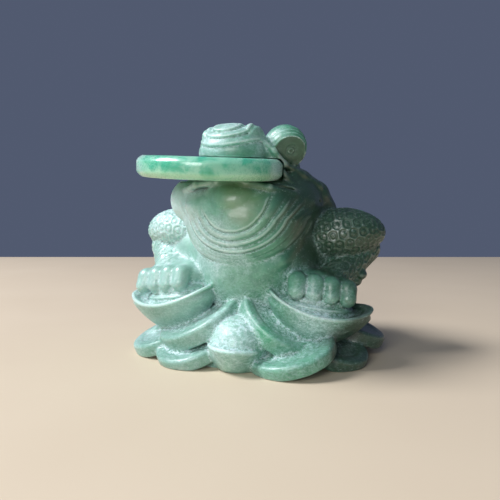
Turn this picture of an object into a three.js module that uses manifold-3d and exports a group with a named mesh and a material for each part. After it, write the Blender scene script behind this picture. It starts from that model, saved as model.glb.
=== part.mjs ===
// Money toad carved in green stone: the toad sits on a heap of coins and ingots, and holds a loose
// coin in its mouth. The carving is one block of stone. The coin is the only separate piece: it lies
// in a slot between the jaws and slides out forwards.
//
// Frame: millimetres, +Z up, origin at the middle of the flat base, the toad looks along -Y.
import * as THREE from 'three';
import { mergeVertices } from 'three/addons/utils/BufferGeometryUtils.js';
import Module from 'manifold-3d';

const wasm = await Module();
wasm.setup();

// ---------------------------------------------------------------------------------------------
// Driving dimensions, millimetres and degrees
// ---------------------------------------------------------------------------------------------

const COIN_DIAMETER = 38;
const COIN_THICKNESS = 5.4;
const COIN_RIM_ROUND = 2;
const COIN_HOLE = 6.5; // side of the square hole
const COIN_OFFSET = -6.3; // sideways from the middle of the head, towards the toad's right
const COIN_REACH = 11.6; // coin's middle in front of the eyes
const COIN_DIP = 5; // front edge lower than the back edge
const COIN_ROLL = 4.4; // the edge at the toad's right is the higher one
const LIP_HEIGHT = 49; // underside of the coin, at the coin's middle
const SLOT_CLEARANCE = 0.45; // above, below and behind the coin

const HEAP_WIDTH = 71; // over the coins that lean outwards
const HEAP_DEPTH = 60;
const HEAP_HEIGHT = 12;
const HEAP_COIN_THICKNESS = 4;
const HEAP_COIN_INSET = 8; // middle of a leaning coin inside the heap's outline

const INGOT_LENGTH = 29; // tip to tip
const INGOT_BEAM = 16; // across
const INGOT_DEPTH = 8; // rim to keel
const INGOT_RIM_HEIGHT = 16.5; // rim above the table, amidships
const INGOT_SPREAD = 20.5; // middle of each ingot from the middle plane
const INGOT_FORWARD = 14.5;
const INGOT_TILT = 11; // inner tip higher than the outer one

const BODY_WIDTH = 44;
const BODY_DEPTH = 48;
const BODY_HEIGHT = 41;
const BODY_LIFT = 5; // underside of the body above the table

const JAW_WIDTH = 45;
const JAW_DEPTH = 38;
const THROAT_WIDTH = 38;
const THROAT_DROP = 25; // bottom of the throat's bulge below the lip
const SKULL_WIDTH = 29;
const SKULL_RISE = 8; // top of the skull above the slot's roof
const SNOUT_WIDTH = 18.5;
const SNOUT_RISE = 8.4; // top of the snout above the slot's roof
const EYE_DIAMETER = 12.6;
const EYE_SPREAD = 10.2; // eye from the middle of the head
const EYE_RISE = 9.6; // top of the eye above the slot's roof
const HEAD_SHIFT = -0.6; // the head sits a little towards the toad's right
const HEAD_REACH = 8; // eyes in front of the origin
const HEAD_TURN = -11; // the head is turned towards the toad's right

const ARM_RADIUS = 7.4; // upper arm
const FOREARM_RADIUS = 6;
const WRIST_RADIUS = 4.4;
const ELBOW_SPREAD = 29; // elbow's middle from the middle plane
const ELBOW_BACK = 5;
const ELBOW_HEIGHT = 35;

const HAND_WIDTH = 18;
const HAND_HEIGHT = 7.5; // top of the hand above the ingot's rim
const TOE_LENGTH = 7.5;
const TOES = 4;

const HIND_LEG_RADIUS = 5.5; // the single hind leg, at the back

// ---------------------------------------------------------------------------------------------
// Solids
// ---------------------------------------------------------------------------------------------

/** A closed three.js geometry, placed by a matrix, as a manifold solid. */
function solid(geometry, matrix = new THREE.Matrix4()) {
  const bare = geometry.clone();
  bare.deleteAttribute('normal');
  bare.deleteAttribute('uv');
  bare.applyMatrix4(matrix);
  const merged = mergeVertices(bare, 1e-4);
  return new wasm.Manifold(new wasm.Mesh({
    numProp: 3,
    vertProperties: new Float32Array(merged.attributes.position.array),
    triVerts: new Uint32Array(merged.index.array),
  }));
}

/** The matrix that scales, turns by degrees about X, then Y, then Z, and moves to a point. */
function place([x, y, z], [rx, ry, rz] = [0, 0, 0], scale = [1, 1, 1]) {
  const turn = new THREE.Euler(
    THREE.MathUtils.degToRad(rx),
    THREE.MathUtils.degToRad(ry),
    THREE.MathUtils.degToRad(rz),
    'ZYX',
  );
  return new THREE.Matrix4().compose(
    new THREE.Vector3(x, y, z),
    new THREE.Quaternion().setFromEuler(turn),
    new THREE.Vector3(...scale),
  );
}

/** An egg-shaped lobe with three half-axes, in a frame of its own or in the toad's. */
function lobe(centre, halfAxes, turn = [0, 0, 0], around = 12, within = new THREE.Matrix4()) {
  const ball = new THREE.SphereGeometry(1, around, Math.round(around * 0.6));
  return solid(ball, within.clone().multiply(place(centre, turn, halfAxes)));
}

/** A limb through points [x, y, z, radius]: a ball at each, a cone between two. */
function limb(points, around = 8) {
  const parts = [];
  points.forEach(([x, y, z, radius], i) => {
    parts.push(lobe([x, y, z], [radius, radius, radius], [0, 0, 0], around));
    if (i === 0) return;
    const [fromX, fromY, fromZ, fromRadius] = points[i - 1];
    const from = new THREE.Vector3(fromX, fromY, fromZ);
    const to = new THREE.Vector3(x, y, z);
    const along = to.clone().sub(from);
    const cone = new THREE.CylinderGeometry(radius, fromRadius, along.length(), around);
    const up = new THREE.Vector3(0, 1, 0);
    const turn = new THREE.Quaternion().setFromUnitVectors(up, along.normalize());
    const middle = from.add(to).multiplyScalar(0.5);
    const size = new THREE.Vector3(1, 1, 1);
    parts.push(solid(cone, new THREE.Matrix4().compose(middle, turn, size)));
  });
  return joined(parts);
}

/** A disc with a rounded rim, its axis along local Z. */
function disc(radius, thickness, round, around, matrix) {
  const half = thickness / 2;
  const steps = 2;
  const profile = [new THREE.Vector2(0, -half)];
  [-1, 1].forEach((face) => {
    for (let i = 0; i <= steps; i += 1) {
      const a = (Math.PI / 2) * (i / steps - (face < 0 ? 1 : 0));
      const out = radius - round + round * Math.cos(a);
      const up = face * (half - round) + round * Math.sin(a);
      profile.push(new THREE.Vector2(out, up));
    }
  });
  profile.push(new THREE.Vector2(0, half));
  return solid(new THREE.LatheGeometry(profile, around).rotateX(Math.PI / 2), matrix);
}

/** One solid from many that run into each other. */
function joined(parts) {
  return parts.reduce((whole, part) => whole.add(part));
}

/** A named three.js mesh from a solid, with its own material. */
function named(name, whole, color, roughness) {
  const { vertProperties, triVerts } = whole.getMesh();
  const geometry = new THREE.BufferGeometry();
  geometry.setAttribute('position', new THREE.BufferAttribute(vertProperties, 3));
  geometry.setIndex(new THREE.BufferAttribute(triVerts, 1));
  geometry.computeVertexNormals();
  const mesh = new THREE.Mesh(
    geometry,
    new THREE.MeshStandardMaterial({ color, roughness, metalness: 0 }),
  );
  mesh.name = name;
  return mesh;
}

// ---------------------------------------------------------------------------------------------
// The coin and its slot
// ---------------------------------------------------------------------------------------------

const coinRadius = COIN_DIAMETER / 2;
const headFrame = place([HEAD_SHIFT, -HEAD_REACH, 0], [0, 0, HEAD_TURN]);
const coinInHead = place(
  [COIN_OFFSET, -COIN_REACH, LIP_HEIGHT + COIN_THICKNESS / 2],
  [COIN_DIP, COIN_ROLL, 0],
);
const coinPlace = headFrame.clone().multiply(coinInHead);
const slotRoof = LIP_HEIGHT + COIN_THICKNESS + SLOT_CLEARANCE;

function mouthCoin() {
  const blank = disc(coinRadius, COIN_THICKNESS, COIN_RIM_ROUND, 40, coinPlace);
  const punch = new THREE.BoxGeometry(COIN_HOLE, COIN_HOLE, COIN_THICKNESS * 2);
  return blank.subtract(solid(punch, coinPlace));
}

/** The room the coin needs: the coin with its clearance, drawn out forwards past the jaws. */
function mouthSlot() {
  const radius = coinRadius + SLOT_CLEARANCE;
  const height = COIN_THICKNESS + 2 * SLOT_CLEARANCE;
  const outline = new THREE.Shape();
  outline.moveTo(-radius, 0);
  outline.lineTo(-radius, -COIN_DIAMETER);
  outline.lineTo(radius, -COIN_DIAMETER);
  outline.lineTo(radius, 0);
  outline.absarc(0, 0, radius, 0, Math.PI, false);
  const settings = { depth: height, bevelEnabled: false, curveSegments: 20 };
  const block = new THREE.ExtrudeGeometry(outline, settings);
  block.translate(0, 0, -height / 2);
  return solid(block, coinPlace);
}

// ---------------------------------------------------------------------------------------------
// The heap of coins and ingots
// ---------------------------------------------------------------------------------------------

/** A point on the heap, some way inside its outline, at an angle from +X. */
function onHeap(angle, inset, height) {
  const a = THREE.MathUtils.degToRad(angle);
  const x = (HEAP_WIDTH / 2 - inset) * Math.cos(a);
  const y = (HEAP_DEPTH / 2 - inset) * Math.sin(a);
  return [x, y, height];
}

/** Coins that lean on the heap: angle round it, middle's height, radius, outward tilt. */
function leaningCoins() {
  const coins = [
    [-60, 4, 11, 14], [-33, 3.6, 9, 24], [2, 5.6, 9.5, 38], [32, 4.4, 10, 28], [62, 5, 10, 34],
    [92, 4.2, 10.5, 24], [122, 5.2, 10, 36], [152, 4.2, 10, 26], [182, 5.6, 9.5, 40],
    [-148, 3.6, 9.5, 24], [-120, 3.8, 10, 20],
  ];
  return coins.map(([angle, height, radius, tilt]) => {
    const matrix = place(onHeap(angle, HEAP_COIN_INSET, height), [0, tilt, angle]);
    return disc(radius, HEAP_COIN_THICKNESS, HEAP_COIN_THICKNESS * 0.4, 14, matrix);
  });
}

/** Two big coins under the ingots, raised towards the middle plane. */
function crossedCoins() {
  return [1, -1].map((side) => {
    const inner = [side * (INGOT_SPREAD - 9), -INGOT_FORWARD, INGOT_RIM_HEIGHT - 5.5];
    const matrix = place(inner, [14, side * 31, 0]);
    return disc(12.5, HEAP_COIN_THICKNESS, HEAP_COIN_THICKNESS * 0.4, 16, matrix);
  });
}

/** The small ingot at the front of the heap, seen end on: a round hull with a dome in it. */
function frontIngot() {
  const [x, y] = onHeap(-90, HEAP_COIN_INSET, 0);
  const hull = lobe([x + 0.5, y, 4.8], [7.2, 8, 5.4]);
  const dome = lobe([x + 0.5, y + 3, 8.5], [6, 7, 5.5]);
  return hull.add(dome);
}

function heap() {
  const core = lobe([0, 0, 0], [HEAP_WIDTH / 2 - 5, HEAP_DEPTH / 2 - 5, HEAP_HEIGHT], [0, 0, 0], 20);
  return joined([core, frontIngot(), ...leaningCoins(), ...crossedCoins()]);
}

/** The frame of one ingot: along its length, across, and up from its rim. */
function ingotFrame(side) {
  const centre = [side * INGOT_SPREAD, -INGOT_FORWARD, INGOT_RIM_HEIGHT];
  return place(centre, [6, side * INGOT_TILT, side * 20]);
}

/** A boat-shaped ingot: a hull with its top cut flat, two rising tips, and a dome amidships. */
function ingot(side) {
  const frame = ingotFrame(side);
  const inFrame = (matrix) => frame.clone().multiply(matrix);
  const halfAxes = [INGOT_LENGTH / 2, INGOT_BEAM / 2, INGOT_DEPTH];
  const hull = solid(new THREE.SphereGeometry(1, 16, 10), inFrame(place([0, 0, 0], [0, 0, 0], halfAxes)));
  const lid = new THREE.BoxGeometry(INGOT_LENGTH * 2, INGOT_BEAM * 2, INGOT_DEPTH * 2);
  const boat = hull.subtract(solid(lid, inFrame(place([0, 0, INGOT_DEPTH]))));
  const dome = [INGOT_LENGTH * 0.32, INGOT_BEAM * 0.36, 3];
  return boat.add(solid(new THREE.SphereGeometry(1, 12, 6), inFrame(place([0, 0, 0], [0, 0, 0], dome))));
}

// ---------------------------------------------------------------------------------------------
// The toad
// ---------------------------------------------------------------------------------------------

function torso() {
  const half = BODY_HEIGHT / 2;
  const body = lobe([0, 2, BODY_LIFT + half], [BODY_WIDTH / 2, BODY_DEPTH / 2, half], [-10, 0, 0], 16);
  const throat = lobe(
    [HEAD_SHIFT, -9, LIP_HEIGHT - THROAT_DROP / 2],
    [THROAT_WIDTH / 2, JAW_DEPTH * 0.44, THROAT_DROP / 2],
    [8, 0, 0],
    16,
  );
  const hump = lobe([0, 9, LIP_HEIGHT - 12], [20, 16, 17], [-30, 0, 0], 16);
  return joined([body, throat, hump]);
}

function head() {
  const inHead = (centre, halfAxes, turn, around) => lobe(centre, halfAxes, turn, around, headFrame);
  const level = [0, 0, 0];
  const jaw = inHead([-1, 3, LIP_HEIGHT - 6], [JAW_WIDTH / 2, JAW_DEPTH / 2, 8.5], [4, 0, 0], 16);
  const skull = inHead([0, 2, slotRoof - 3], [SKULL_WIDTH / 2, 17, SKULL_RISE + 3], [6, 0, 0], 14);
  const snout = inHead([0, -11, slotRoof - 0.5], [SNOUT_WIDTH / 2, 9, SNOUT_RISE], [6, 0, 0], 14);
  const radius = EYE_DIAMETER / 2;
  const eyes = [1, -1].map((side) => {
    const centre = [side * EYE_SPREAD, 0, slotRoof + EYE_RISE - radius];
    return inHead(centre, [radius, radius, radius], level);
  });
  return joined([jaw, skull, snout, ...eyes]);
}

/** The folded arm: shoulder to elbow, and back down to the wrist on the ingot. */
function arm(side) {
  const upper = limb([
    [side * (BODY_WIDTH / 2 - 3), -1, ELBOW_HEIGHT, ARM_RADIUS],
    [side * ELBOW_SPREAD, ELBOW_BACK, ELBOW_HEIGHT, ARM_RADIUS],
  ], 10);
  const lower = limb([
    [side * (ELBOW_SPREAD + 0.5), ELBOW_BACK, ELBOW_HEIGHT - ARM_RADIUS, FOREARM_RADIUS],
    [side * INGOT_SPREAD, 2 - INGOT_FORWARD, INGOT_RIM_HEIGHT + HAND_HEIGHT - WRIST_RADIUS, WRIST_RADIUS],
  ]);
  return upper.add(lower);
}

/** The flank that fills the space between the folded arm and the body. */
function flank(side) {
  const halfAxes = [12, 13, 12];
  return lobe([side * (BODY_WIDTH / 2 - 3), 3, ELBOW_HEIGHT - ARM_RADIUS - 2], halfAxes, [0, 0, 0], 14);
}

/** The hand on the ingot, its toes pointing forwards and down over the rim. */
function hand(side) {
  const toeRadius = HAND_WIDTH / TOES / 2 + 0.15;
  const middle = side * (INGOT_SPREAD + 0.8);
  const palm = lobe([middle, 1 - INGOT_FORWARD, INGOT_RIM_HEIGHT + 2], [HAND_WIDTH / 2, 6.5, HAND_HEIGHT - 3]);
  const toes = [];
  for (let i = 0; i < TOES; i += 1) {
    const across = (i - (TOES - 1) / 2) * (HAND_WIDTH / TOES);
    const y = -INGOT_FORWARD - 2.5;
    toes.push(limb([
      [middle + across * 0.9, y + TOE_LENGTH / 2, INGOT_RIM_HEIGHT + HAND_HEIGHT - toeRadius, toeRadius],
      [middle + across, y - TOE_LENGTH / 2 + toeRadius, INGOT_RIM_HEIGHT + 2, toeRadius],
    ], 6));
  }
  return joined([palm, ...toes]);
}

/** The single hind leg, bent against the back of the body, its foot on the heap. */
function hindLeg() {
  const back = BODY_DEPTH / 2;
  return limb([
    [-3, back - 4, 25, HIND_LEG_RADIUS + 2],
    [8, back - 1, 19, HIND_LEG_RADIUS],
    [4, back, 12, HIND_LEG_RADIUS - 1],
    [-7, back + 1, 8.5, HIND_LEG_RADIUS - 1.5],
  ]);
}

/** Everything below the table plane, which is cut away so that the base is flat. */
function belowTable() {
  const wide = 4 * HEAP_WIDTH;
  return solid(new THREE.BoxGeometry(wide, wide, wide), place([0, 0, -wide / 2]));
}

function toadCarving() {
  const limbs = [1, -1].flatMap((side) => [ingot(side), arm(side), flank(side), hand(side)]);
  const block = joined([heap(), torso(), head(), hindLeg(), ...limbs]);
  return block.subtract(mouthSlot()).subtract(belowTable());
}

// ---------------------------------------------------------------------------------------------
// The figurine
// ---------------------------------------------------------------------------------------------

const figurine = new THREE.Group();
figurine.add(named('toad_carving', toadCarving(), 0x7fae95, 0.35));
figurine.add(named('mouth_coin', mouthCoin(), 0x8fc4a8, 0.25));

export default figurine;
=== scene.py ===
"""Looks of the money toad: one block of green jade carved as a toad on a heap of coins and ingots,
and the loose stone coin in its mouth.

The carving is worked out as a block of stone: a field that holds, at every point of a fine grid, the
distance to the skin. Forms are melted together or cut away one after another, as a carver roughs out,
rounds and engraves, and the skin is where the field is zero. Lengths in this part are millimetres.
"""

import math

import bpy
import numpy as np
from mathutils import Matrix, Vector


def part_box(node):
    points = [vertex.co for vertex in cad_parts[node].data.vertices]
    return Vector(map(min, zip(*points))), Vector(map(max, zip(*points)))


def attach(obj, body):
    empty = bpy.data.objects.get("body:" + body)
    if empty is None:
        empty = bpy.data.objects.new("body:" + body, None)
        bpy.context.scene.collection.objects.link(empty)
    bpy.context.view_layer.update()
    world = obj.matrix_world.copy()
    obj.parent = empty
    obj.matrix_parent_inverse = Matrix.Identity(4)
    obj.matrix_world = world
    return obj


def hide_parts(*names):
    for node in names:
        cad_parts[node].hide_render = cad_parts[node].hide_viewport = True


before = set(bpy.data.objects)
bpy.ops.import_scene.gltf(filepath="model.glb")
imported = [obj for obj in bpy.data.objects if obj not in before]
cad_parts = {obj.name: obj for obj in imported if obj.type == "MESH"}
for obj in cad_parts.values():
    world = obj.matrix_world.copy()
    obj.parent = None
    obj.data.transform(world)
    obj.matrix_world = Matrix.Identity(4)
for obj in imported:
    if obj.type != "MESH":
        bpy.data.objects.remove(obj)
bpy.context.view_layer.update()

MM = 0.001  # metres in a millimetre

# ------------------------------------------------------------------------------------------------
# Driving sizes, millimetres and degrees
# ------------------------------------------------------------------------------------------------

stone_low, stone_high = [np.array(corner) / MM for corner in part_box("toad_carving")]
TABLE = stone_low[2]
HALF_WIDTH = (stone_high[0] - stone_low[0]) / 2

GRAIN = 0.34  # step of the grid that the stone is worked out on
SKIN_FACES = 192_000  # triangles kept on the carving's skin
MARGIN = 2.5  # room round the stone, and round each form worked into it
FAR_OUT = 4  # the distance that the block starts with
NEAR_SKIN = 1.6  # how deep below and above the skin the grooves are felt

SIDES = (1, -1)  # right and left, as all names here, are as seen from in front of the toad

COIN_RADIUS = 19.0
COIN_THICKNESS = 5.4
COIN_HOLE = 6.5
COIN_ROUND = 1.6  # rounding of the rim's edges
COIN_TURN = (5.0, 4.4, -11.0)
COIN_MIDDLE = (-9.0, -18.2, 51.7)
SLOT_ROOM = 0.2  # clearance round the coin

HEAP_HALF_WIDTH = HALF_WIDTH - 0.7
HEAP_HALF_DEPTH = 30.0
HEAP_COIN_INSET = 8.0
HEAP_COIN_THICKNESS = 4.0
HEAP_COIN_DISH = 0.35  # how far a coin's faces are sunk inside its rim
CROSSED_THICKNESS = 4.8
CROSSED_DISH = 0.4

INGOT_HALF = (13.8, 8.0, 9.6)  # along, across, rim to keel
RIGHT_INGOT = ((19.6, -14.8, 14.9), (8.0, 10.0, 20.0), 2.8)  # middle of the rim, turn, rise of the tips
LEFT_INGOT = ((-21.2, -14.8, 16.4), (8.0, -7.0, -20.0), 2.9)

ELBOW = (29.0, 5.0, 35.0)
RIGHT_PLUMP = 7.4  # half the height of the upper arm
LEFT_PLUMP = 6.2
HAND_WIDTH = 17.6
TOES = 4

HEAD_MIDDLE = (-0.6, -8.0, 0.0)  # the point that the head is turned about
HEAD_TURN = -11.0
EYE = (10.0, 0.6, 57.7)  # in the head's frame
EYE_RADIUS = 5.9
EYE_DISC = 4.4  # radius of the flat eye
NOSE_TOP = 62.8  # the nose is cut flat here

VIEW_TURN = 14.0  # the eye stands this far round to the right of the front


# ------------------------------------------------------------------------------------------------
# The block of stone and the forms in it
# ------------------------------------------------------------------------------------------------

class Place:
    """A frame that is turned about X, then Y, then Z, in degrees, and moved to a point of another frame."""

    def __init__(self, middle=(0, 0, 0), turn=(0, 0, 0), within=None):
        rx, ry, rz = np.radians(turn)
        about_x = np.array([[1, 0, 0], [0, math.cos(rx), -math.sin(rx)], [0, math.sin(rx), math.cos(rx)]])
        about_y = np.array([[math.cos(ry), 0, math.sin(ry)], [0, 1, 0], [-math.sin(ry), 0, math.cos(ry)]])
        about_z = np.array([[math.cos(rz), -math.sin(rz), 0], [math.sin(rz), math.cos(rz), 0], [0, 0, 1]])
        self.axes = about_z @ about_y @ about_x
        self.middle = np.array(middle, float)
        if within is not None:
            self.axes = within.axes @ self.axes
            self.middle = within.point(middle)

    def point(self, local):
        """A point of this frame in the toad's frame."""
        return self.axes @ np.array(local, float) + self.middle

    def local(self, x, y, z):
        """Points of the toad's frame in this one: the offset from the middle, along each axis."""
        offset = (x - self.middle[0], y - self.middle[1], z - self.middle[2])
        return [sum(np.float32(self.axes[j, i]) * offset[j].astype(np.float32) for j in range(3))
                for i in range(3)]


TOAD = Place()
HEAD = Place(HEAD_MIDDLE, (0, 0, HEAD_TURN))


class Form:
    """A shape in a frame: how far it reaches from a middle, and its distance at local points."""

    def __init__(self, place, reach, distance, middle=(0, 0, 0)):
        self.place = place
        self.middle = place.point(middle)
        self.reach = reach
        self.distance = distance


def smooth(low, high, x):
    """0 below low, 1 above high, and an even S between them."""
    t = np.clip((x - low) / (high - low), 0, 1)
    return t * t * (3 - 2 * t)


def bell(x, width):
    """1 at x = 0, falling to both sides as a bell: e to the minus (x / width) squared."""
    return np.exp(-np.square(x / width))


def lobe(middle, half, turn=(0, 0, 0), within=TOAD, carve=None):
    """An egg: with k0 the point's length in half-axes and k1 its length in squared half-axes, the
    distance is k0 (k0 - 1) / k1. carve(x, y, z) is added, so that it lowers the skin where it is positive."""

    def distance(x, y, z):
        k0 = np.sqrt(np.square(x / half[0]) + np.square(y / half[1]) + np.square(z / half[2]))
        k1 = np.sqrt(np.square(x / half[0] ** 2) + np.square(y / half[1] ** 2) + np.square(z / half[2] ** 2))
        d = k0 * (k0 - 1) / np.maximum(k1, 1e-4)
        return d if carve is None else d + carve(x, y, z)

    return Form(Place(middle, turn, within), max(half), distance)


def coin(middle, radius, thickness, turn, soft=1.0, dish=0.0, within=TOAD):
    """A round disc: with q the point's overhang past the inner cylinder, outwards and upwards, the
    distance is |q| less the rim's rounding, soft. dish sinks the faces inside a raised rim."""

    def distance(x, y, z):
        out = np.hypot(x, y)
        up = np.abs(z) + dish * (1 - smooth(radius - 3.4, radius - 2.4, out))
        q_out, q_up = out - radius + soft, up - thickness / 2 + soft
        inner = np.minimum(np.maximum(q_out, q_up), 0)
        return inner + np.hypot(np.maximum(q_out, 0), np.maximum(q_up, 0)) - soft

    return Form(Place(middle, turn, within), radius, distance)


def roll(points, within=TOAD, carve=None):
    """A roll of stone through points (x, y, z, radius): the least over its stretches of the distance to
    the stretch's line, less a radius that runs evenly from one end's to the other's."""
    points = np.array(points, float)
    low, high = points[:, :3].min(0), points[:, :3].max(0)
    middle = (low + high) / 2
    reach = np.linalg.norm(high - low) / 2 + points[:, 3].max()

    def distance(x, y, z):
        best = None
        for (ax, ay, az, ar), (bx, by, bz, br) in zip(points[:-1], points[1:]):
            ex, ey, ez = bx - ax, by - ay, bz - az
            length = ex * ex + ey * ey + ez * ez
            t = np.clip(((x - ax) * ex + (y - ay) * ey + (z - az) * ez) / length, 0, 1)
            t = t.astype(np.float32)
            gap = np.sqrt(np.square(x - ax - t * ex) + np.square(y - ay - t * ey)
                          + np.square(z - az - t * ez))
            d = gap - (ar + (br - ar) * t)
            best = d if best is None else melt(best, d, 0.8)
        return best if carve is None else best + carve(x, y, z)

    return Form(within, reach, distance, middle)


def melt(a, b, width):
    """The smaller of two distances, rounded where they are within width of each other: the smaller one
    less (width - |a - b|) squared over 4 widths."""
    h = np.maximum(width - np.abs(a - b), 0)
    return np.minimum(a, b) - h * h / (4 * width)


class Block:
    """The stone: distances to its skin on a grid, negative inside."""

    def __init__(self, low, high, step):
        self.step = step
        self.axes = [np.arange(a, b, step, dtype=np.float32) for a, b in zip(low, high)]
        self.field = np.full([len(a) for a in self.axes], FAR_OUT, np.float32)

    def part(self, form):
        """The cells round a form, and its distance in them."""
        cells, coordinates = [], []
        for axis, middle in zip(self.axes, form.middle):
            first = int(np.searchsorted(axis, middle - form.reach - MARGIN))
            last = int(np.searchsorted(axis, middle + form.reach + MARGIN))
            cells.append(slice(first, last))
            coordinates.append(axis[first:last])
        grid = np.meshgrid(*coordinates, indexing="ij", sparse=True)
        return tuple(cells), form.distance(*form.place.local(*grid)).astype(np.float32)

    def add(self, form, blend=0.7):
        cells, d = self.part(form)
        self.field[cells] = melt(self.field[cells], d, blend)

    def cut(self, form, blend=0.5):
        cells, d = self.part(form)
        self.field[cells] = -melt(-self.field[cells], d, blend)


# ------------------------------------------------------------------------------------------------
# Engraving
# ------------------------------------------------------------------------------------------------

def rings(u, v, pitch=2.8, radius=0.9, line=0.28, depth=0.44):
    """Rings drilled in staggered rows over a skin with coordinates u and v: a narrow bell across each
    ring's line, and a small pit in its middle."""
    row_height = pitch * 0.87
    row = np.round(v / row_height)
    along = u - np.mod(row, 2) * pitch / 2
    r = np.hypot(along - pitch * np.round(along / pitch), v - row * row_height)
    return depth * (bell(r - radius, line) + 0.6 * bell(r, 0.3))


def creases(r, places, line=0.3, depth=0.5):
    """Narrow creases at each of the given places along r."""
    return depth * sum(bell(r - at, line) for at in places)


# ------------------------------------------------------------------------------------------------
# The heap of coins and ingots
# ------------------------------------------------------------------------------------------------

def on_heap(angle, inset, height):
    """A point some way inside the heap's outline, at an angle from +X."""
    a = math.radians(angle)
    return ((HEAP_HALF_WIDTH - inset) * math.cos(a), (HEAP_HALF_DEPTH - inset) * math.sin(a), height)


def carve_heap(block):
    """The core, the coins that lean on it all round, a flatter one at the front right, two
    crossed coins under the ingots, and between them at the front an ingot end on, with its dome."""
    block.add(lobe((0, 0, 0), (30, 24.5, 13)))
    leaning = [  # angle round the heap, middle's height, radius, outward tilt
        (-33, 3.8, 9.0, 22), (2, 7.0, 9.0, 24), (32, 4.4, 10.0, 28), (62, 5.0, 10.0, 34),
        (92, 4.2, 10.5, 24), (122, 5.2, 10.0, 36), (152, 4.2, 10.0, 26), (182, 5.6, 9.5, 36),
        (-150, 5.0, 10.6, 22), (-120, 4.4, 10.0, 24),
    ]
    for angle, height, radius, tilt in leaning:
        middle = on_heap(angle, HEAP_COIN_INSET, height)
        block.add(coin(middle, radius, HEAP_COIN_THICKNESS, (0, tilt, angle), dish=HEAP_COIN_DISH), 0.9)
    block.add(coin((13.2, -20.2, 4.4), 11.4, 3.8, (13, -12, 0), dish=HEAP_COIN_DISH), 0.8)
    for x, radius, tilt in ((9.6, 12.3, 34), (-12.4, 12.8, -26)):
        crossed = coin((x, -14.5, 11.0), radius, CROSSED_THICKNESS, (16, tilt, 0), dish=CROSSED_DISH)
        block.add(crossed, 0.8)
    x, y, _ = on_heap(-90, HEAP_COIN_INSET, 0)
    block.add(ingot_hull(Place((x - 0.5, y - 0.4, 6.2), (5, 0, 90)), (9.4, 7.4, 7.4), 0.7), 0.5)
    block.add(lobe((x - 0.3, y + 0.6, 5.8), (7.9, 8.4, 7.8)), 0.5)


def ingot_hull(place, half, rise):
    """A boat of stone. Its hull is where (x / long)^2 + (y / beam)^2 + |z / depth|^1.15 = 1, which is
    sharper at the keel than an egg. The top is cut away above a rim that rises as the square of the way
    to the tips; a bead runs along the rim, and inside it the deck is sunk."""
    long, beam, depth = half

    def distance(x, y, z):
        rim = rise * np.square(np.clip(x / long, -1.1, 1.1))
        ring = np.hypot(x / long, y / beam)
        hull = (np.sqrt(np.square(ring) + np.abs(z / depth) ** 1.15) - 1) * beam * 0.85
        side = (ring - 1) * beam * (1 + 0.35 * np.abs(x / long))
        bead = np.hypot(side + 0.45, z - rim + 0.35) - 0.55
        deck = z - rim + 0.8 * smooth(-1.2, -2.2, side)
        return melt(np.maximum(hull, deck), bead, 0.4)

    return Form(place, max(half), distance)


def carve_ingots(block):
    """The two big ingots, each with a dome amidships, and the hand that rests on the dome."""
    for side, (middle, turn, rise) in ((1, RIGHT_INGOT), (-1, LEFT_INGOT)):
        place = Place(middle, turn)
        block.add(ingot_hull(place, INGOT_HALF, rise), 0.5)
        block.add(lobe((-side, 1.0, -1.2), (11.0, 6.6, 5.6), within=place, carve=dome_lines), 0.4)
        carve_hand(block, side, place)


def dome_lines(x, y, z):
    """Two creases round the dome, level with the rim."""
    return creases(z, (1.7, 3.1), 0.3, 0.4)


# ------------------------------------------------------------------------------------------------
# The toad's body and limbs
# ------------------------------------------------------------------------------------------------

def throat_folds(x, y, z, undercut=1.9):
    """Folds hanging round the chin as nested U shapes: creases at set distances r from the chin's
    middle, with r = the length of (x / spread, z), z counting for a third above the middle and the
    spread growing upwards, and beyond the last fold a step down to the belly. They fade out on the way
    up to the lip and to the back."""
    down = np.where(z < 0, z, z * 0.35)
    r = np.hypot(x / (1.2 + 0.055 * np.clip(z + 3, 0, 9)), down)
    front = smooth(2, -5, y) * smooth(5.5, 1.5, z)
    edges = (6.2, 8.1, 9.9, 11.6, 14.8)
    folds = creases(r, edges, 0.3, 0.5) + 0.4 * sum(smooth(at - 0.3, at + 0.1, r) for at in edges) - 1.2
    lines = 0.12 * (1 + np.cos(r * 2 * math.pi / 0.95)) * smooth(6.5, 8, r) * smooth(14.5, 13.6, r)
    return front * (folds + lines + undercut * smooth(15.2, 16.0, r))


def carve_body(block):
    """Body, back, flanks and belly, then the bulging throat with its folds, the smooth chin, and a fold
    that slants down from the throat to the hand."""
    block.add(lobe((0, 2, 25.5), (19.5, 23.5, 20.5), (-10, 0, 0)), 1.0)
    block.add(lobe((0, 9, 37), (19, 16, 17), (-30, 0, 0), carve=back_rings), 3.0)
    for side in SIDES:
        block.add(lobe((side * 15, 7, 25), (11, 13, 12), carve=flank_rings), 2.5)
        block.add(lobe((side * 9 - 1, -6.5, 26.5), (8, 8.5, 10.5), (0, side * 16, 0)), 1.5)
    block.add(lobe((-16.5, -1.5, 26.5), (9.5, 9, 11.5), (0, 0, 20)), 2.5)
    throat = lobe((-1.0, -9, 38.5), (18.3, 16.4, 13.4), carve=lambda x, y, z: throat_folds(x, y, z - 2.5))
    bag = lobe((-1.2, -9, 33.6), (16.4, 16.0, 11.6), carve=lambda x, y, z: throat_folds(x, y, z - 7.4))
    block.add(joined(throat, bag, 2.0), 0.5)
    block.add(lobe((-1.6, -17.0, 42.6), (9.4, 9.7, 7.0)), 0.3)
    block.add(roll([(13.5, -12.0, 33.0, 1.6), (9.5, -17.0, 27.5, 2.0), (5.5, -18.5, 24.5, 1.8)]), 1.2)


def back_rings(x, y, z):
    """Engraved rings over the back: rows of the staggered lattice, wrapped round the body's length."""
    angle = np.arctan2(x, np.maximum(z, 0.1))
    return rings(y, angle * 16, 3.1, 1.0) * smooth(-8, -4, y) * smooth(0, 3, z)


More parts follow.
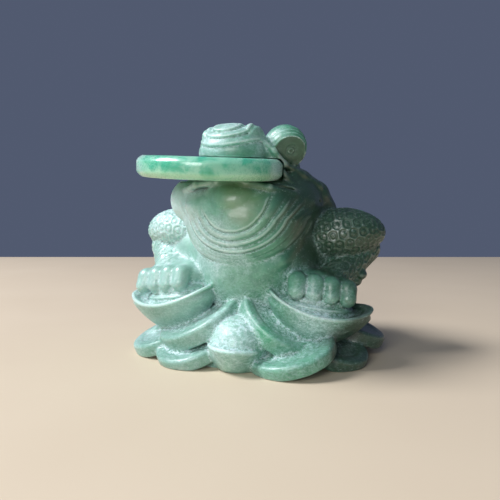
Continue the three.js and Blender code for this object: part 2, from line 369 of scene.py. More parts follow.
def flank_rings(x, y, z):
    """Wider rings over a flank, left out where it meets the coins."""
    return rings(y, z, 3.4, 1.1) * smooth(5, 7, np.abs(x)) * smooth(-7, -3, z)


def arm_rings(x, y, z):
    """Rings over an arm whose length runs along x: the lattice is wrapped round the length."""
    angle = np.arctan2(z, -y)
    return rings(x, angle * 7.5)


def carve_arms(block):
    """Folded arms: upper arm out to the elbow, forearm back in and down to the hand on the ingot."""
    for side, (wrist, _, _), spread, plump in ((1, RIGHT_INGOT, -1.6, RIGHT_PLUMP),
                                               (-1, LEFT_INGOT, -0.8, LEFT_PLUMP)):
        ex, ey, ez = side * ELBOW[0], ELBOW[1], ELBOW[2]
        fat = RIGHT_PLUMP - plump
        forearm = roll([(ex + side * (1.0 - fat), ey - 0.5 - 2 * fat, ez - 5.2, 4.9 + fat),
                        (ex + side * (spread - 1 - fat), ey - 5 - fat, ez - 9.2, 4.6 + 1.3 * fat),
                        (wrist[0] + side * (3.6 + spread), wrist[1] + 7.0, wrist[2] + 6.6, 4.2 + fat)],
                       carve=lambda x, y, z: rings(y * 1.1, (x - z) * 0.75))
        block.add(forearm, 0.8 + fat)
        for x, z in ((2.0, -12.3), (0.6, -14.2)):
            block.add(lobe((ex + side * (x + spread), ey - 6, ez + z), (1.9, 3.0, 1.5)), 0.6)
        shoulder = lobe((ex - side * 5.4, ey - 4.6, ez + 6.5 - plump), (10.4, 9.2, plump),
                        (0, side * -8, side * 10), carve=arm_rings)
        elbow = lobe((ex + side * 0.8, ey - 1.5, ez - 0.4), (6.5, 7.5, 5.0), (0, side * 4, side * 10),
                     carve=arm_rings)
        block.add(joined(shoulder, elbow, 2.5), 0.4)


def joined(a, b, blend):
    """Two lobes melted into one form, with each lobe's own engraving."""
    middle = (a.middle + b.middle) / 2
    reach = np.linalg.norm(a.middle - b.middle) / 2 + max(a.reach, b.reach)

    def distance(x, y, z):
        return melt(a.distance(*a.place.local(x, y, z)), b.distance(*b.place.local(x, y, z)), blend)

    return Form(TOAD, reach, distance, middle)


def carve_hand(block, side, ingot):
    """A palm with fat blunt toes side by side, bent down at the knuckle, on the ingot's dome."""
    block.add(lobe((-side, 4.5, 5.2), (9.0, 6.0, 4.2), within=ingot), 0.8)
    pitch = HAND_WIDTH / TOES
    for i in range(TOES):
        across = (i - (TOES - 1) / 2) * pitch - 0.9
        back = (across * 0.9, 3.0, 6.6, pitch * 0.48)
        knuckle = (across, -1.0, 6.9 - 0.05 * abs(across), pitch * 0.53)
        tip = (across * 1.03, -2.6, 4.4, pitch * 0.51)
        block.add(roll([back, knuckle, tip], ingot), 0.25 if side > 0 else 0.9)


def where_it_ends(block, start, direction, reach):
    """The place where a line that starts inside the stone leaves it for good."""
    places = np.array(start) + np.arange(0, reach, block.step)[:, None] * np.array(direction)
    inside = sampled(block, block.field, places) < 0
    return places[np.flatnonzero(inside)[-1]]


def carve_spine(block):
    """A row of round bosses down the middle of the back, each seated on the skin, with a raised rim and
    a round top."""
    for i in range(6):
        angle = math.radians(104 - 17 * i)
        out = (0, math.cos(angle), math.sin(angle))
        middle = where_it_ends(block, (0, 8, 33), out, 30)
        size = 2.9 - 0.2 * i
        block.add(coin(middle, size, 1.8, (math.degrees(angle) - 90, 0, 0), 0.7), 0.4)
        top = middle + 0.9 * np.array(out)
        block.add(lobe(top, (size * 0.5,) * 3), 0.2)


def carve_hind_leg(block):
    """The single hind leg, bent against the back, with its toes on the heap."""
    block.add(roll([(-3, 20, 25, 8), (8, 23, 19, 6), (4, 24, 12, 4.8), (-7, 25, 8.5, 4.0)],
                   carve=lambda x, y, z: rings(z, x, 2.9, 0.95)), 0.8)
    for i in range(3):
        block.add(roll([(-7, 25, 8.5, 2.6), (-12.6, 21.8 + 3.1 * i, 8.2 - 0.8 * i, 1.8)]), 0.4)


# ------------------------------------------------------------------------------------------------
# The head
# ------------------------------------------------------------------------------------------------

def carve_head(block):
    """Wide lower jaw with a rolled lip and full corners, narrow skull with a ringed nape, then the nose,
    and the cheeks with the eyes."""
    block.add(lobe((-1.9, 2, 43), (19.8, 19.0, 8.4), (4, 0, 0), HEAD,
                   lambda x, y, z: throat_folds(x + 1, y - 5, z + 2.0, 0) * smooth(-15.5, -12.5, x)), 1.0)
    block.add(lobe((-16.6, -3.5, 43.6), (4.6, 9, 6.2), within=HEAD), 3.0)
    block.add(lobe((-0.6, 4.5, 51), (12.6, 16.5, 10), (6, 0, 0), HEAD, nape_rings), 1.5)
    for side in SIDES:
        lip = [(-1.5, -16.4, 47.3, 0.8), (side * 7 - 1.5, -15.2, 47.0, 0.8),
               (side * 12 - 1.5, -11.6, 46.0, 0.9), (side * 15.6 - 1, -5.5, 44.4, 1.1),
               (side * 17.4 - 1, 2, 42.8, 1.6)]
        block.add(roll(lip, HEAD), 0.5)
        block.add(lobe((side * 15.2 - 1.2, 5, 42.6), (4.4, 9, 6.2), within=HEAD), 0.9)
    carve_nose(block)
    carve_cheeks(block)


def carve_cheeks(block):
    """Each cheek runs out from beside the nose to the jaw's corner. It carries the eye, and two thin
    folds lie along it: one from the nose under the eye, over the eye's edge, and one above the lip."""
    brow = [(6.8, -7.9, 58.5), (9.4, -6.3, 55.9), (11.4, -3.4, 52.6), (14.2, 2.4, 50.2), (17.0, 8.6, 47.4),
            (18.0, 13.4, 43.2)]
    lower = [(11.2, -5.0, 50.8), (13.2, -2.6, 47.3), (15.8, 2.8, 44.5), (17.0, 8.6, 42.0)]
    for side in SIDES:
        block.add(roll([(side * (x - 2.0), y + 3.3, z - 2.2, 3.9) for x, y, z in brow], HEAD), 0.8)
        block.add(roll([(side * (x - 2.4), y + 3.0, z, 3.7) for x, y, z in lower], HEAD), 0.8)
    carve_eyes(block)
    for side in SIDES:
        for low in (1.7, 3.0):
            under = [(side * (x - 0.3 * low), y + 0.1 * low, z - low, 0.35) for x, y, z in brow[1:]]
            block.cut(roll(under, HEAD), 0.5)
        block.add(roll([(side * x, y, z, 0.7 + 0.08 * i) for i, (x, y, z) in enumerate(brow)], HEAD), 0.12)
        block.add(roll([(side * x, y, z, 0.8 + 0.12 * i) for i, (x, y, z) in enumerate(lower)], HEAD), 0.3)


def nape_rings(x, y, z):
    """Rings over the back of the head, which fade out before the eyes."""
    return rings(y, np.arctan2(x, np.maximum(z, 0.1)) * 10) * smooth(1.5, 4, y) * smooth(-2, 1, z)


def carve_nose(block):
    """A blunt egg with its top flattened, and a nostril swelling at each side. Its front is cut in
    terraces: oval steps round a point near the top, each outer one lower, with a crease at its foot."""
    front = Place((-1.4, -8.0, 60.9), (68, 0, 0), HEAD)

    def terraces(x, y, z):
        u, v, _ = front.local(x, y, z)
        r = np.hypot(u / 1.32, v)
        steps = (3.0, 4.9, 7.0)
        drop = sum(0.5 * smooth(at - 0.25, at + 0.25, r) for at in steps)
        return drop + creases(r, [at + 0.15 for at in steps], 0.25, 0.25) - 0.5

    nose = lobe((-1.7, -6.8, 55.6), (10.6, 9.8, 7.7), within=HEAD)
    nostrils = [lobe((-1.7 + side * 6.3, -7.4, 60.0), (2.7, 4.6, 3.1), within=HEAD) for side in SIDES]
    whole = joined(joined(nose, nostrils[0], 0.3), nostrils[1], 0.3)
    block.add(Form(TOAD, whole.reach, lambda x, y, z: np.maximum(
        whole.distance(x, y, z) + terraces(x, y, z), z - NOSE_TOP), whole.middle), 0.5)


def eye_look(side):
    """The frame of an eye: its middle, with the third axis the way that the eye looks."""
    return Place((side * EYE[0], EYE[1], EYE[2]), (121, 0, side * 42), HEAD)


def carve_eyes(block):
    """A ball under a thick lid: the eye is a flat disc sunk into the ball, with a pupil ring and dot
    engraved in it, and fine creases run round it over the lid."""
    for side in SIDES:
        look = eye_look(side)

        def ball(u, v, w):
            angle = np.degrees(np.arctan2(np.hypot(u, v), w))
            return np.sqrt(u * u + v * v + w * w) - EYE_RADIUS + creases(angle, (57, 68, 80), 2.2, 0.3)

        block.add(Form(look, EYE_RADIUS, ball), 0.5)

        def socket(u, v, w):
            r = np.hypot(u, v)
            pupil = np.hypot(u - 0.35 * side, v - 0.55)
            floor = 3.5 + 0.35 * bell(r, 2.5) - 0.35 * bell(pupil - 1.25, 0.26) - 0.4 * bell(pupil, 0.35)
            return np.maximum(r - EYE_DISC, floor - w)

        block.cut(Form(look, EYE_RADIUS + 1, socket), 0.25)


def cut_mouth(block):
    """The slot for the coin: a slab with a round back end, thicker and wider than the coin by its
    clearance, running out forwards past the jaws; and the slit that carries on to the mouth's corners."""
    radius, half = COIN_RADIUS + SLOT_ROOM, COIN_THICKNESS / 2 + SLOT_ROOM

    def slab(x, y, z):
        out = np.where(y > 0, np.hypot(x, y), np.abs(x)) - radius + COIN_ROUND
        up = np.abs(z) - half + COIN_ROUND
        inner = np.minimum(np.maximum(out, up), 0)
        return inner + np.hypot(np.maximum(out, 0), np.maximum(up, 0)) - COIN_ROUND

    place = Place(COIN_MIDDLE, COIN_TURN)
    block.cut(Form(place, radius * 2.2, slab), 0.15)
    for side in SIDES:
        slit = [(side * 4, -14, 48.6, 0.8), (side * 10.5, -10.0, 47.2, 0.6), (side * 14, -5.5, 45.6, 0.5),
                (side * 16.4, 1.5, 43.9, 0.45), (side * 18.6, 8, 42.6, 0.4)]
        block.cut(roll(slit, HEAD), 0.4)


# ------------------------------------------------------------------------------------------------
# From field to skin
# ------------------------------------------------------------------------------------------------

def skin(block):
    """Vertices and quads of the surface where the field is zero. Each cell whose corners have both signs
    gets one vertex, at the mean of the zero crossings on its edges, and each grid edge with a change of
    sign gets the quad between the four cells round it, wound so that it faces out of the stone."""
    field = block.field
    inside = field < 0
    shape = np.array(field.shape) - 1
    total = np.zeros((*shape, 3), np.float32)
    count = np.zeros(shape, np.int16)
    crossings = []
    for axis in range(3):
        near = [slice(None)] * 3
        far = [slice(None)] * 3
        near[axis], far[axis] = slice(None, -1), slice(1, None)
        a, b = field[tuple(near)], field[tuple(far)]
        flips = np.argwhere(inside[tuple(near)] != inside[tuple(far)])
        va, vb = a[tuple(flips.T)], b[tuple(flips.T)]
        at = flips.astype(np.float32)
        at[:, axis] += va / (va - vb)
        crossings.append((axis, flips, va < 0))
        side_1, side_2 = [k for k in range(3) if k != axis]
        for step_1 in (0, 1):
            for step_2 in (0, 1):
                cell = flips.copy()
                cell[:, side_1] -= step_1
                cell[:, side_2] -= step_2
                fits = np.all((cell >= 0) & (cell < shape), axis=1)
                index = tuple(cell[fits].T)
                np.add.at(total, index, at[fits])
                np.add.at(count, index, 1)
    cells = np.argwhere(count > 0)
    number = np.full(shape, -1, np.int64)
    number[tuple(cells.T)] = np.arange(len(cells))
    places = total[tuple(cells.T)] / count[tuple(cells.T)][:, None]
    low = np.array([axis[0] for axis in block.axes])
    quads = []
    for axis, flips, leaves in crossings:
        side_1, side_2 = (axis + 1) % 3, (axis + 2) % 3
        corners = []
        for step_1, step_2 in ((0, 0), (1, 0), (1, 1), (0, 1)):
            cell = flips.copy()
            cell[:, side_1] -= step_1
            cell[:, side_2] -= step_2
            corners.append(number[tuple(cell.T)])
        ring = np.stack(corners, axis=1)
        quads.append(np.where(leaves[:, None], ring, ring[:, ::-1]))
    return one_body(places * block.step + low, np.concatenate(quads))


def one_body(places, quads):
    """The vertices and quads of the surface's largest connected part, so that no loose crumb is left.
    Every corner takes the lowest number found on its quads, again and again, until nothing changes."""
    part = np.arange(len(places))
    while True:
        lowest = part.copy()
        found = part[quads].min(axis=1)
        for corner in range(4):
            np.minimum.at(lowest, quads[:, corner], found)
        lowest = lowest[lowest]
        if np.array_equal(lowest, part):
            break
        part = lowest
    kept = part == np.bincount(part).argmax()
    number = np.cumsum(kept) - 1
    return places[kept], number[quads[kept[quads[:, 0]]]]


def blurred(field, cells):
    """The field averaged over a cube of cells, twice along each axis, so that near cells count for more."""
    for _ in range(2):
        for axis in range(3):
            pad = [(0, 0)] * 3
            pad[axis] = (cells + 1, cells)
            run = np.cumsum(np.pad(field, pad, mode="edge"), axis=axis, dtype=np.float32)
            size = field.shape[axis]
            ahead = np.take(run, np.arange(2 * cells + 1, 2 * cells + 1 + size), axis=axis)
            behind = np.take(run, np.arange(size), axis=axis)
            field = (ahead - behind) / (2 * cells + 1)
    return field


def sampled(block, field, points):
    """The field's values at points, worked out evenly between the eight grid values round each."""
    low = np.array([axis[0] for axis in block.axes])
    at = (points - low) / block.step
    base = np.clip(np.floor(at).astype(int), 0, np.array(field.shape) - 2)
    part = at - base
    value = np.zeros(len(points), np.float32)
    for corner in np.ndindex(2, 2, 2):
        share = np.prod(np.where(corner, part, 1 - part), axis=1)
        value += share * field[tuple((base + corner).T)]
    return value


def stone_piece(name, places, quads, keep_faces):
    """A mesh object in metres from places in millimetres, thinned to a number of triangles."""
    mesh = bpy.data.meshes.new(name)
    mesh.vertices.add(len(places))
    mesh.vertices.foreach_set("co", (places * MM).astype(np.float32).ravel())
    mesh.loops.add(quads.size)
    mesh.loops.foreach_set("vertex_index", quads.astype(np.int32).ravel())
    mesh.polygons.add(len(quads))
    mesh.polygons.foreach_set("loop_start", np.arange(0, quads.size, 4, dtype=np.int32))
    mesh.update(calc_edges=True)
    piece = bpy.data.objects.new(name, mesh)
    bpy.context.scene.collection.objects.link(piece)
    if keep_faces:
        thin = piece.modifiers.new("thin", "DECIMATE")
        thin.ratio = keep_faces / (2 * len(quads))
        bpy.context.view_layer.update()
        finished = piece.evaluated_get(bpy.context.evaluated_depsgraph_get())
        piece.data = bpy.data.meshes.new_from_object(finished)
        piece.modifiers.clear()
    return piece


def spot_values(piece, name, values):
    """Keeps one number for each vertex of a piece."""
    attribute = piece.data.attributes.new(name, "FLOAT", "POINT")
    attribute.data.foreach_set("value", np.ascontiguousarray(values, np.float32))


def points_of(piece):
    """A piece's vertices in millimetres."""
    places = np.empty(len(piece.data.vertices) * 3, np.float32)
    piece.data.vertices.foreach_get("co", places)
    return places.reshape(-1, 3) / MM


def carve_stone():
    """Roughs out, rounds and engraves the whole carving, and keeps how deep each point of its skin lies
    in a groove: the field's average round it, narrowly and widely, which is positive in a hollow."""
    block = Block(stone_low - MARGIN, stone_high + MARGIN, GRAIN)
    carve_heap(block)
    carve_ingots(block)
    carve_body(block)
    carve_spine(block)
    carve_hind_leg(block)
    carve_arms(block)
    carve_head(block)
    cut_mouth(block)
    above_table = TABLE - block.axes[2]
    block.field = np.maximum(block.field, above_table[None, None, :])
    places, quads = skin(block)
    carving = stone_piece("toad_stone", places, quads, SKIN_FACES)
    near_skin = np.clip(block.field, -NEAR_SKIN, NEAR_SKIN)
    points = points_of(carving)
    for name, cells, strength in (("groove", 1, 5.0), ("hollow", 4, 1.6)):
        depth = sampled(block, blurred(near_skin, cells), points) * -strength
        spot_values(carving, name, depth)
    return carving


def mouth_coin():
    """The loose coin as one closed surface. Its section is drawn at every angle a, from the edge of the
    square hole (r = half the hole's side over the larger of |cos a| and |sin a|), out over the face, up a
    step onto the raised rim, round the rim's soft edge and back by the other face. Between hole and rim
    r runs evenly, so that the square turns into the circle."""
    around, half = 360, COIN_THICKNESS / 2
    a = np.linspace(0, 2 * math.pi, around, endpoint=False)[:, None]
    corner = np.maximum(np.abs(np.cos(a)), np.abs(np.sin(a)))
    hole = COIN_HOLE / 2 / corner
    rim, round_by, sunk, step, fullness = COIN_RADIUS - 3.2, COIN_ROUND, 0.35, 0.9, 1.35
    share = np.concatenate([[0, 0.05, 0.12], np.linspace(0.16, 0.9, 16), [0.95, 1.0]])
    face_r = hole + share * (rim - hole)
    face_z = np.full_like(share, half - sunk)
    lift = np.linspace(0, 1, 7)[1:]
    rise_r = np.broadcast_to(rim + step * lift, (around, len(lift)))
    rise_z = half - sunk * (1 - smooth(0, 1, lift))
    bend = np.linspace(math.pi / 2, 0, 12, endpoint=False)
    edge_r = COIN_RADIUS - round_by + round_by * np.cos(bend) ** fullness
    edge_r = np.broadcast_to(edge_r, (around, len(bend)))
    edge_z = half - round_by + round_by * np.sin(bend) ** fullness
    upper_r = np.concatenate([face_r, rise_r, edge_r], axis=1)
    upper_z = np.concatenate([face_z, rise_z, edge_z])
    r = np.concatenate([upper_r, upper_r[:, ::-1]], axis=1)
    z = np.broadcast_to(np.concatenate([upper_z, -upper_z[::-1]]), r.shape)
    place = Place(COIN_MIDDLE, COIN_TURN)
    local = np.stack([r * np.cos(a), r * np.sin(a), z], axis=-1).reshape(-1, 3)
    places = local @ place.axes.T + place.middle
    long = r.shape[1]
    i, j = np.meshgrid(np.arange(around), np.arange(long), indexing="ij")
    ahead, over = (i + 1) % around, (j + 1) % long
    quads = np.stack([i * long + j, i * long + over, ahead * long + over, ahead * long + j], axis=-1)
    return stone_piece("coin_stone", places, quads.reshape(-1, 4), None)


# ------------------------------------------------------------------------------------------------
# Finishes
# ------------------------------------------------------------------------------------------------

class Value:
    """A number or colour that varies over a surface: a node's socket. + - * and / add Math nodes."""

    def __init__(self, finish, socket):
        self.finish = finish
        self.socket = socket

    def math(self, operation, *numbers):
        return self.finish.node("ShaderNodeMath", {"operation": operation}, dict(enumerate(numbers)))

    def __add__(self, other):
        return self.math("ADD", self, other)

    def __sub__(self, other):
        return self.math("SUBTRACT", self, other)

    def __rsub__(self, other):
        return self.math("SUBTRACT", other, self)

    def __mul__(self, other):
        return self.math("MULTIPLY", self, other)

    def __truediv__(self, other):
        return self.math("DIVIDE", self, other)

    __radd__ = __add__
    __rmul__ = __mul__

    def size(self):
        """The value without its sign."""
        return self.math("ABSOLUTE", self)

    def within(self):
        """The value held between 0 and 1."""
        return self.math("MAXIMUM", self.math("MINIMUM", self, 1.0), 0.0)

    def step(self, low, high):
        """0 below low, 1 above high, with an even S between; low may be the higher one."""
        settings = {"interpolation_type": "SMOOTHSTEP"}
        turned = low > high
        ends = (high, low) if turned else (low, high)
        share = self.finish.node("ShaderNodeMapRange", settings, {0: self, 1: ends[0], 2: ends[1]})
        return 1 - share if turned else share


class Finish:
    """A material and the nodes in it. node() is the one way that a node comes in."""

    def __init__(self, name):
        self.material = bpy.data.materials.new(name)
        self.material.use_nodes = True
        self.tree = self.material.node_tree
        self.tree.nodes.clear()

    def node(self, kind, settings=None, sockets=None, output=0):
        """A node of a type: its settings are set first, then its sockets, to values or to links."""
        node = self.tree.nodes.new(kind)
        for name, setting in (settings or {}).items():
            setattr(node, name, setting)
        for key, value in (sockets or {}).items():
            if isinstance(value, Value):
                self.tree.links.new(value.socket, node.inputs[key])
            else:
                node.inputs[key].default_value = value
        return Value(self, node.outputs[output] if node.outputs else None)

    def place(self):
        return self.node("ShaderNodeTexCoord", output="Object")

    def measure(self, name):
        """A number kept on the piece for each vertex."""
        return self.node("ShaderNodeAttribute", {"attribute_name": name}, output="Fac")

    def along(self, direction, offset=0.0):
        """How far a point lies along a direction, in millimetres, plus an offset."""
        scaled = tuple(part / MM for part in direction)
        sockets = {0: self.place(), 1: scaled}
        return self.node("ShaderNodeVectorMath", {"operation": "DOT_PRODUCT"}, sockets, "Value") + offset

    def distance(self, point):
        """How far it is to a point, in millimetres."""
        sockets = {0: self.place(), 1: tuple(part * MM for part in point)}
        return self.node("ShaderNodeVectorMath", {"operation": "DISTANCE"}, sockets, "Value") / MM

    def near(self, point, reach):
        """1 at a point, falling to 0 at a distance, with the edge left cloudy."""
        return (self.distance(point) + (self.cloud(0.16, 3) - 0.5) * reach * 1.1).step(reach, reach * 0.3)

    def cloud(self, per_mm, detail=2.0, rough=0.5, bend=0.0, stretch=None):
        """Soft noise from 0 to 1 with so many lumps to a millimetre."""
        place = self.place()
        if stretch is not None:
            place = self.node("ShaderNodeMapping", {}, {"Vector": place, "Scale": stretch})
        sockets = {"Vector": place, "Scale": per_mm / MM, "Detail": detail, "Roughness": rough,
                   "Distortion": bend}
        return self.node("ShaderNodeTexNoise", {}, sockets, "Fac")

    def cells(self, per_mm):
        """How far it is to the nearest of scattered points, so many to a millimetre, in their spacing."""
        sockets = {"Vector": self.place(), "Scale": per_mm / MM}
        return self.node("ShaderNodeTexVoronoi", {"feature": "F1"}, sockets, "Distance")

    def tint(self, base, over, share):
        """A colour laid over another one by a share from 0 to 1."""
        settings = {"data_type": "RGBA", "blend_type": "MIX"}
        return self.node("ShaderNodeMix", settings, {0: share, 6: base, 7: over}, 2)

    def bump(self, height, depth, strength=1.0, normal=None):
        """A raised surface: a height from 0 to 1 over a depth in millimetres."""
        sockets = {"Height": height, "Distance": depth * MM, "Strength": strength}
        if normal is not None:
            sockets["Normal"] = normal
        return self.node("ShaderNodeBump", {}, sockets)

    def surface(self, sockets):
        shader = self.node("ShaderNodeBsdfPrincipled", {"subsurface_method": "RANDOM_WALK"}, sockets)
        self.node("ShaderNodeOutputMaterial", {}, {"Surface": shader})
        return self.material


PALE_JADE = (0.085, 0.29, 0.18, 1)
# Milky green, which also stands in as painted light and painted highlight.
MILK_JADE_AND_LIGHT = (0.38, 0.55, 0.53, 1)
SEA_JADE = (0.045, 0.20, 0.125, 1)
# Deep bottle green, which also stands in as painted shade.
BOTTLE_JADE_AND_SHADE = (0.013, 0.045, 0.020, 1)
# Olive green, which also stands in as painted shade under the coin.
OLIVE_JADE_AND_COIN_SHADE = (0.12, 0.20, 0.085, 1)
EMERALD = (0.02, 0.30, 0.14, 1)
# Pale frost, which also stands in as painted light beside the coin.
STONE_DUST_AND_LIGHT = (0.58, 0.76, 0.77, 1)
# Painted highlight along edges.
EDGE_HIGHLIGHT = (0.72, 0.86, 0.82, 1)
# Dark green of painted shade in the grooves.
GROOVE_SHADE = (0.03, 0.13, 0.08, 1)
MICA = (0.6, 0.75, 0.66, 1)
COIN_PALE = (0.24, 0.52, 0.39, 1)
COIN_GREEN = (0.06, 0.38, 0.25, 1)
COIN_UNDER_EDGE = (0.40, 0.60, 0.40, 1)
COIN_MILK = (0.50, 0.72, 0.66, 1)
COIN_MICA = (0.75, 0.9, 0.8, 1)
TABLE_TONES = ((0.56, 0.48, 0.345, 1), (0.61, 0.53, 0.39, 1))

STONE_DEPTH = {"IOR": 1.61, "Subsurface Anisotropy": 0.2, "Coat Roughness": 0.08}


def stone_grain(finish):
    """What the whole stone shares: clouds of paler and deeper green, veins, and scattered mica flecks."""
    clouds = finish.cloud(0.075, 4, 0.55, 0.6)
    veins = finish.cloud(0.2, 5, 0.6, 1.4)
    flecks = finish.cells(1.1).step(0.20, 0.08) * finish.cloud(0.3, 2).step(0.5, 0.62)
    return clouds, veins, flecks


def carved_jade():
    """Translucent green stone: milky on the toad's right and bottle green on its left, partly the stone's own
    tone and partly painted light towards the window lamp and painted shade away from it; paler patches of
    painted light where the coin and the nose shade the jaw;
    polished on what stands proud, with painted highlights on it and its edges; frosted and dusty in the
    grooves, and darkened there with painted shade; the eye discs darkened with painted shade; with mica
    specks that catch the light."""
    finish = Finish("carved_jade_stone")
    clouds, veins, flecks = stone_grain(finish)
    groove, hollow = finish.measure("groove"), finish.measure("hollow")
    drift = (clouds - 0.5) * 22
    # Painted shade: darker towards the side away from the window lamp, on top of the stone's own deeper green
    # there.
    shaded_side_and_dark_stone = (finish.along((0.80, 0.60, 0.45)) + drift * 0.5).step(4, 19)
    # The front right coins, which face away from the lamp, are darkened further with painted shade, and the
    # dark is lessened round the right ingot.
    shaded_side_and_dark_stone = shaded_side_and_dark_stone * (1 - finish.near((19, -20, 17), 14) * 0.8) + finish.near((28, -17, 2), 13)
    shaded_side_and_dark_stone = shaded_side_and_dark_stone.within() * finish.along((1, 0, 0)).step(-14, 8) * finish.along((0, 0, 1)).step(57, 51)
    # Painted light: paler towards the window lamp, on top of the stone's own milky tone there.
    lit_side_and_pale_stone = (finish.along((-0.90, -0.30, -0.15)) + drift).step(-4, 26)
    colour = finish.tint(PALE_JADE, SEA_JADE, (veins.step(0.38, 0.62) * 0.75).within())
    colour = finish.tint(colour, MILK_JADE_AND_LIGHT, lit_side_and_pale_stone * 0.58)
    colour = finish.tint(colour, SEA_JADE, finish.near((-20, -22, 5), 16) * 0.65)
    colour = finish.tint(colour, BOTTLE_JADE_AND_SHADE, (shaded_side_and_dark_stone * 0.95).within())
    # The chin under the coin: the stone's own olive, with painted shade of the coin above it.
    chin = finish.near((2, -27, 43), 9)
    colour = finish.tint(colour, OLIVE_JADE_AND_COIN_SHADE, chin * 0.7)
    vein = finish.near((5, -26, 11), 9)
    colour = finish.tint(colour, EMERALD, vein * veins.step(0.38, 0.6) * 0.7)
    colour = finish.tint(colour, MICA, flecks * 0.3)
    speckle = finish.cloud(1.1, 5, 0.75, 0.5, (1.0, 1.0, 1.6))
    sunk = (groove * 0.6 + hollow * 0.7).within()
    low_down = finish.along((0, -0.25, -1.0)).step(-26, -10)
    curl = (finish.cloud(0.40, 4, 0.62, 1.6) - 0.5).size().step(0.05, 0.01)
    # Milky patches: frost of the stone, and on the jaw and under the nose painted light where the coin and
    # the nose shade them.
    milky = 0.0
    for point, reach in (((-7, -22, 33), 13), ((-1, -27, 9), 9.5), ((-4, -14, 59), 15), ((19, -22, 15), 9),
                         ((-26, -4, 37), 9), ((-17, -15, 44), 13)):
        milky = milky + finish.near(point, reach)
    milky = milky * (1 - chin)
    colour = finish.tint(colour, MILK_JADE_AND_LIGHT, (milky * 0.5).within())
    # Painted light: the jaw beside the coin made paler where the coin's shadow falls on it.
    colour = finish.tint(colour, STONE_DUST_AND_LIGHT, finish.near((-18, -16, 43), 13) * 0.5)
    # Frost at the foot and in the grooves, and over the milky patches, so that part of it is painted light.
    frost_and_lit_patches = (low_down * 0.2 + sunk * 0.85 + milky * 0.4) * (1 - shaded_side_and_dark_stone * 0.7)
    settled = frost_and_lit_patches * (speckle.step(0.42, 0.60) + curl * 0.7)
    dust = (settled + speckle.step(0.58, 0.70) * (0.15 + shaded_side_and_dark_stone * 0.2)).within()
    colour = finish.tint(colour, STONE_DUST_AND_LIGHT, dust * 0.85)
    # Painted shade: the flat eye discs darkened, as they face away from the light.
    for side in SIDES:
        pupil = finish.distance(eye_look(side).point((0.3 * side, 0, 3.8))).step(4.8, 4.2)
        colour = finish.tint(colour, BOTTLE_JADE_AND_SHADE, pupil * 0.72)
    # Painted shade: the deepest grooves darkened.
    colour = finish.tint(colour, GROOVE_SHADE, groove.step(0.45, 0.95) * 0.55)
    # Painted highlights: what stands proud made paler, its edges paler still, and less so on the shaded side.
    raised = groove * -1.0
    proud, edge = raised.within(), raised.step(0.36, 0.65)
    colour = finish.tint(colour, MILK_JADE_AND_LIGHT, proud * 0.2 * (1 - shaded_side_and_dark_stone * 0.8))
    colour = finish.tint(colour, EDGE_HIGHLIGHT, edge * 0.3 * (1 - shaded_side_and_dark_stone * 0.7))
    fine = finish.cloud(3.4, 3, 0.7)
    gloss = 0.40 + dust * 0.38 + (speckle - 0.5) * 0.3 - proud * 0.12
    soft = finish.bump(finish.cloud(0.5, 3, 0.5), 0.22, 0.5)
    normal = finish.bump(speckle * 0.5 + fine * 0.5, 0.1, 0.8, soft)
    return finish.surface({
        "Base Color": colour, "Roughness": gloss.within(), "Normal": normal,
        "Subsurface Weight": 0.5, "Subsurface Radius": (0.7, 1.25, 1.0), "Subsurface Scale": 0.0018,
        "Coat Weight": (0.26 - dust * 0.5).within(), **STONE_DEPTH,
    })


def coin_jade():
    """The same stone in a stronger green, with emerald patches, a paler under edge and two milky ends."""
    finish = Finish("coin_jade_stone")
    clouds, _, flecks = stone_grain(finish)
    patches = finish.cloud(0.16, 4, 0.6, 0.8)
    colour = finish.tint(COIN_PALE, COIN_GREEN, patches.step(0.42, 0.62))
    colour = finish.tint(colour, EMERALD, patches.step(0.6, 0.72) * 0.8)
    axis = Place(COIN_MIDDLE, COIN_TURN).axes[:, 2]
    height = finish.along(tuple(axis), -float(np.dot(axis, COIN_MIDDLE))) + (clouds - 0.5) * 2
    colour = finish.tint(colour, COIN_UNDER_EDGE, height.step(-0.5, -1.8) * 0.55)
    for end, reach in (((-25, -24, 53), 12), ((10, -20, 50), 7)):
        colour = finish.tint(colour, COIN_MILK, finish.near(end, reach) * 0.6)
    colour = finish.tint(colour, COIN_MICA, flecks * 0.15)
    fine = finish.cloud(2.6, 3, 0.6)
    gloss = 0.24 + (fine - 0.5) * 0.2 + clouds * 0.1
    soft = finish.bump(finish.cloud(0.35, 3, 0.5), 0.2, 0.5)
    normal = finish.bump(fine, 0.04, 0.5, soft)
    return finish.surface({
        "Base Color": colour, "Roughness": gloss.within(), "Normal": normal,
        "Subsurface Weight": 0.8, "Subsurface Radius": (0.8, 1.25, 1.0), "Subsurface Scale": 0.0028,
        "Coat Weight": 0.5, **STONE_DEPTH,
    })


# ------------------------------------------------------------------------------------------------
# Putting it together
# ------------------------------------------------------------------------------------------------

def finished(piece, material, body, node, slot):
    """Gives a piece its finish, smooth shading and the body that it moves with, and hides the part of the
    node that it stands for.
    """
    piece.data.materials.clear()
    piece.data.materials.append(material)
    piece.data.shade_smooth()
    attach(piece, body)
    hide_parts(node)


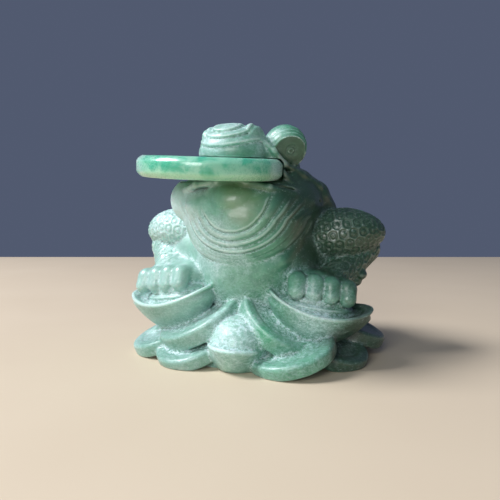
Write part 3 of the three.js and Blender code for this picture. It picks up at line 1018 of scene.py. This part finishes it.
def table_top():
    """A plain pale table top that ends some way behind the toad."""
    finish = Finish("pale_table")
    tone = finish.cloud(0.02, 2)
    colour = finish.tint(*TABLE_TONES, tone)
    material = finish.surface({"Base Color": colour, "Roughness": 0.6})
    size, behind, turned = 3.0, 0.345, math.radians(VIEW_TURN)
    across = np.array([math.cos(turned), math.sin(turned), 0])
    away = np.array([-math.sin(turned), math.cos(turned), 0])
    corners = [side * size * across + reach * away for side, reach in
               ((-1, -size), (1, -size), (1, behind), (-1, behind))]
    mesh = bpy.data.meshes.new("table_top")
    mesh.from_pydata(corners, [], [(0, 1, 2, 3)])
    mesh.materials.append(material)
    floor = bpy.data.objects.new("table_top", mesh)
    bpy.context.scene.collection.objects.link(floor)


def soft_lamp(name, place, watts, size, colour=(1, 1, 1)):
    """A square lamp that faces the toad."""
    light = bpy.data.lights.new(name, "AREA")
    light.energy, light.size, light.color = watts, size, colour
    lamp = bpy.data.objects.new(name, light)
    bpy.context.scene.collection.objects.link(lamp)
    lamp.location = place
    aim = Vector((0, 0, 0.03)) - lamp.location
    lamp.rotation_euler = aim.to_track_quat("-Z", "Y").to_euler()


def studio():
    """Bluish light from the room, a soft window lamp high on the left, and a weak one low in front."""
    world = bpy.data.worlds.new("studio")
    bpy.context.scene.world = world
    world.use_nodes = True
    room = world.node_tree.nodes["Background"]
    room.inputs["Color"].default_value = (0.52, 0.64, 1.0, 1)
    room.inputs["Strength"].default_value = 0.16
    soft_lamp("window", (-0.57, -0.22, 0.71), 11.8, 0.30, (0.96, 0.93, 1.0))
    soft_lamp("front_fill", (-0.06, -0.55, 0.22), 2.0, 0.25)
    bpy.context.scene.view_settings.view_transform = "Standard"


def camera():
    """The eye: a little right of the front and just above the middle of the toad, looking slightly down."""
    turned, back, aside, height, down = math.radians(VIEW_TURN), 148.0, -2.7, 38.5, 3.66
    lens = bpy.data.cameras.new("camera")
    lens.sensor_width = lens.lens = 36.0
    lens.clip_start, lens.clip_end = 0.01, 20
    eye = bpy.data.objects.new("camera", lens)
    bpy.context.scene.collection.objects.link(eye)
    eye.location = [MM * (aside * math.cos(turned) + back * math.sin(turned)),
                    MM * (aside * math.sin(turned) - back * math.cos(turned)), MM * height]
    eye.rotation_euler = (math.radians(90 - down), 0, turned)
    bpy.context.scene.camera = eye


carving = carve_stone()
finished(carving, carved_jade(), "toad", "toad_carving", "carved_jade")
coin_piece = mouth_coin()
finished(coin_piece, coin_jade(), "coin", "mouth_coin", "coin_jade")
table_top()
studio()
camera()
